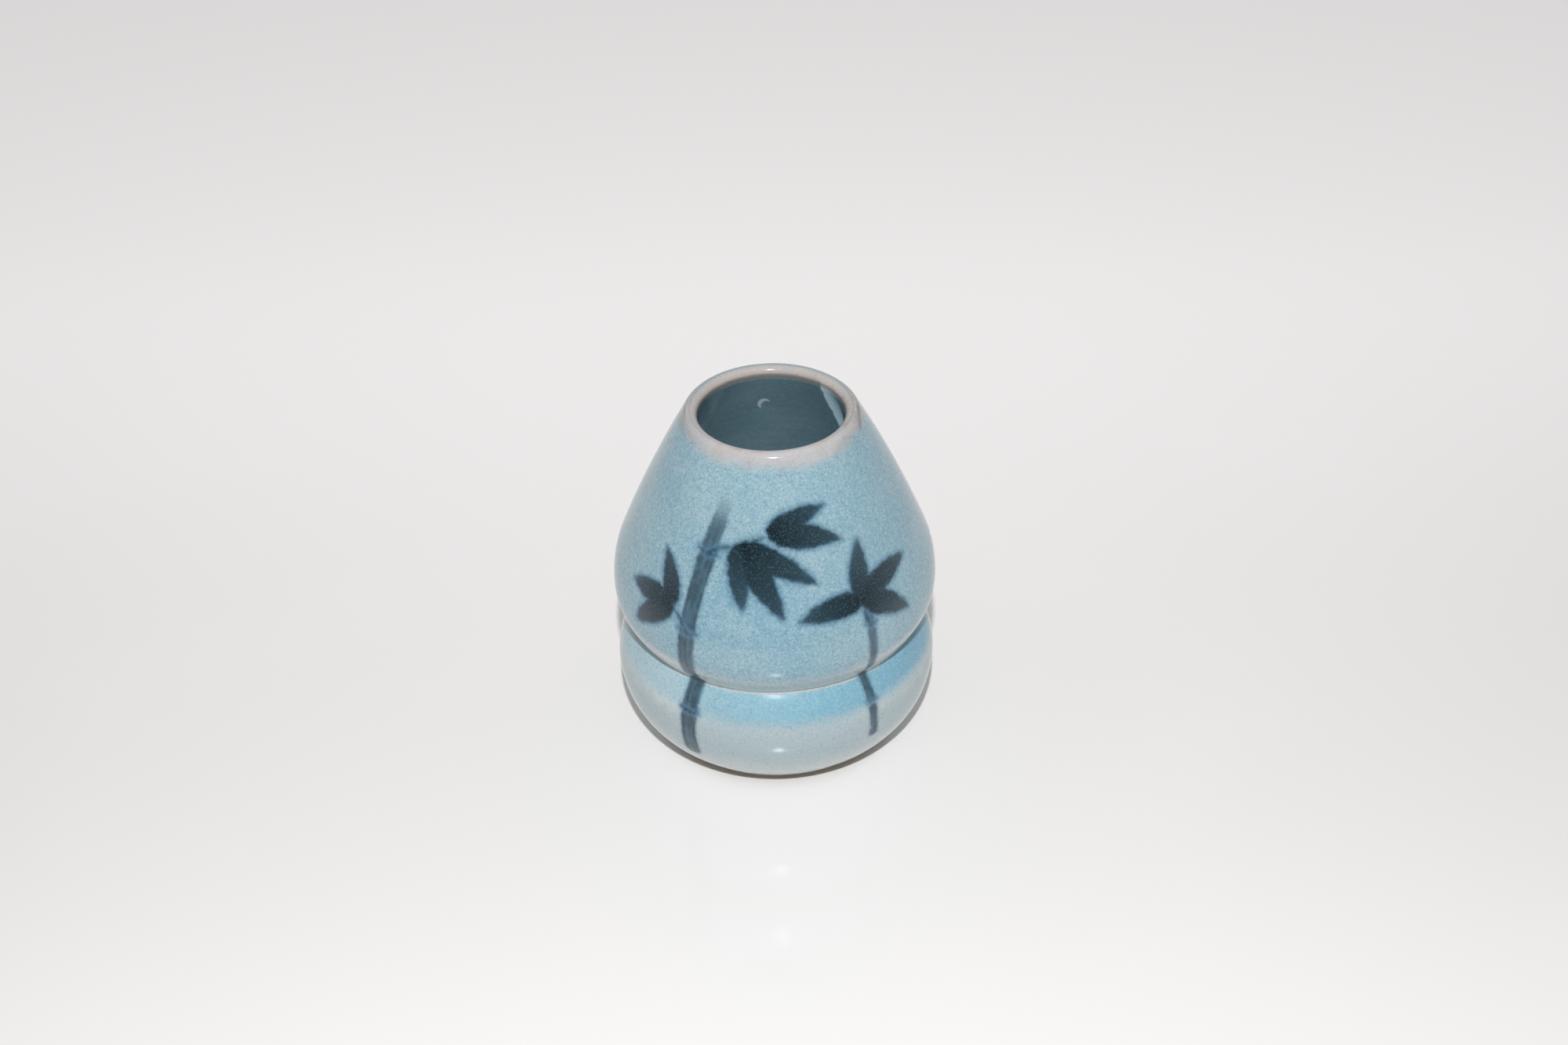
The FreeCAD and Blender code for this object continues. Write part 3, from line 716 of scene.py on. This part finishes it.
def bareClayMaterial():
    material = bpy.data.materials.new("bareStoneware")
    r = Recipe(material)
    where = r.place()
    height = r.millimetres(where)[2]
    ground = r.mix(clay["body"], clay["dark"], r.ease(r.noise(where, "clayCloud"), 0.45, 0.7) * 0.5)
    ground = r.mix(ground, clay["dark"], r.ease(r.noise(where, "claySpeck"), 0.6, 0.72) * 0.7)
    flashed = r.ease(height + r.noise(where, "clayFlash") * 1.2, 1.6, 2.6) * 0.6
    ground = r.mix(ground, clay["flash"], flashed)
    grit = r.noise(where, "grit")
    bump = r.node("ShaderNodeBump", None, {
        "Strength": clay["relief"], "Distance": clay["reliefHeight"] * mm, "Height": grit})
    roughness = r.ease(grit, 0.3, 0.7, clay["smooth"], clay["rough"])
    shader = r.node("ShaderNodeBsdfPrincipled", None, {
        "Base Color": ground, "Roughness": roughness, "Normal": bump})
    r.node("ShaderNodeOutputMaterial", None, {"Surface": shader})
    return material


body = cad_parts["stoneware_body"]
bareClay = bareClayMaterial()
if not body.material_slots:
    body.data.materials.append(bareClay)
for slot in body.material_slots:
    slot.material = bareClay
print("materials made")


# floor, light and camera

studio = {            # metres and watts
    "floorFront": -0.137, "floorBack": 3.2, "floorSide": 3.2,
    "floorNear": tone(243, 242, 241), "floorFar": tone(253, 250, 251), "floorGlow": tone(136, 134, 135),
    "floorTint": (-0.1, 0.5), "floorGlows": (-0.06, 0.2), "floorGloss": 0.12, "floorIor": 1.5,
    "worldFront": 0.07, "worldSide": 0.42, "worldHigh": 0.36, "worldColour": (1.0, 0.99, 0.98, 1.0),
    "lampPlace": (0.0, -0.378, 0.446), "lampAim": (0.0, 0.0, 0.035), "lampSize": 0.016, "lampPower": 2.5,
}


def paleBoardMaterial():
    material = bpy.data.materials.new("paleBoard")
    r = Recipe(material)
    where = r.place()
    away = r.split(where, 1)
    # painted light: the board is paler further off, against the near lamp's falloff
    board = r.mix(studio["floorNear"], studio["floorFar"], r.ease(away, *studio["floorTint"]))
    board = r.mix(board, studio["floorFar"], r.ease(r.noise(where, "board"), 0.45, 0.8) * 0.15)
    # the lamp is near, so the board keeps its paleness further off by a glow that lights nothing
    path = "ShaderNodeLightPath"
    seen = r.node(path, out="Is Camera Ray") + r.node(path, out="Is Glossy Ray")
    seen = seen + r.node(path, out="Is Transmission Ray")
    glow = r.mix((0, 0, 0, 1), studio["floorGlow"], r.ease(away, *studio["floorGlows"]) * seen)
    shader = r.node("ShaderNodeBsdfPrincipled", None, {
        "Base Color": board, "Roughness": studio["floorGloss"], "IOR": studio["floorIor"],
        "Emission Color": glow, "Emission Strength": 1.0})
    r.node("ShaderNodeOutputMaterial", None, {"Surface": shader})
    return material


bpy.ops.object.select_all(action="DESELECT")
bpy.ops.mesh.primitive_plane_add(size=1, location=(0, 0, 0))
floor = bpy.context.object
floor.name = "floor"
bpy.ops.object.mode_set(mode="EDIT")
bpy.ops.mesh.select_all(action="SELECT")
bpy.ops.transform.resize(value=(2 * studio["floorSide"], studio["floorBack"] - studio["floorFront"], 1))
bpy.ops.transform.translate(value=(0, (studio["floorBack"] + studio["floorFront"]) / 2, 0))
bpy.ops.object.mode_set(mode="OBJECT")
floor.data.materials.append(paleBoardMaterial())

# a soft room, dark only behind the camera, dimmer overhead
world = bpy.data.worlds.new("softRoom")
bpy.context.scene.world = world
r = Recipe(world)
toward = r.place("Generated")
around = r.ease(r.split(toward, 1), -0.8, -0.3, studio["worldFront"], studio["worldSide"])
level = around + (studio["worldHigh"] - around) * r.ease(r.split(toward, 2), 0.35, 0.75)
sky = r.node("ShaderNodeBackground", None, {"Color": studio["worldColour"], "Strength": level})
r.node("ShaderNodeOutputWorld", None, {"Surface": sky})

lampPlace, lampAim = Vector(studio["lampPlace"]), Vector(studio["lampAim"])
disk = bpy.data.lights.new("lamp", "AREA")
disk.shape = "DISK"
disk.size = studio["lampSize"]
disk.energy = studio["lampPower"]
lamp = bpy.data.objects.new("lamp", disk)
lamp.location = lampPlace
lamp.rotation_euler = (lampAim - lampPlace).to_track_quat("-Z", "Y").to_euler()
bpy.context.collection.objects.link(lamp)

view = {              # metres, degrees and millimetres of lens
    "place": (0.0, -0.3620, 0.3035), "down": 35.3, "right": 0.33, "roll": -1.04,
    "lens": 50.4, "sensor": 36.0, "clip": (0.01, 20.0),
}
down, right, rollTurn = (math.radians(view[k]) for k in ("down", "right", "roll"))
ahead = Vector((math.sin(right) * math.cos(down), math.cos(right) * math.cos(down), -math.sin(down)))
side = ahead.cross(Vector((0, 0, 1))).normalized()
top = side.cross(ahead)
rolledSide = math.cos(rollTurn) * side + math.sin(rollTurn) * top
rolledTop = math.cos(rollTurn) * top - math.sin(rollTurn) * side
cameraData = bpy.data.cameras.new("camera")
cameraData.lens = view["lens"]
cameraData.sensor_width = view["sensor"]
cameraData.clip_start, cameraData.clip_end = view["clip"]
camera = bpy.data.objects.new("camera", cameraData)
turned = Matrix((rolledSide, rolledTop, -ahead)).transposed().to_4x4()
camera.matrix_world = Matrix.Translation(view["place"]) @ turned
bpy.context.collection.objects.link(camera)
bpy.context.scene.camera = camera
bpy.context.scene.view_settings.view_transform = "Standard"

print("scene ready")
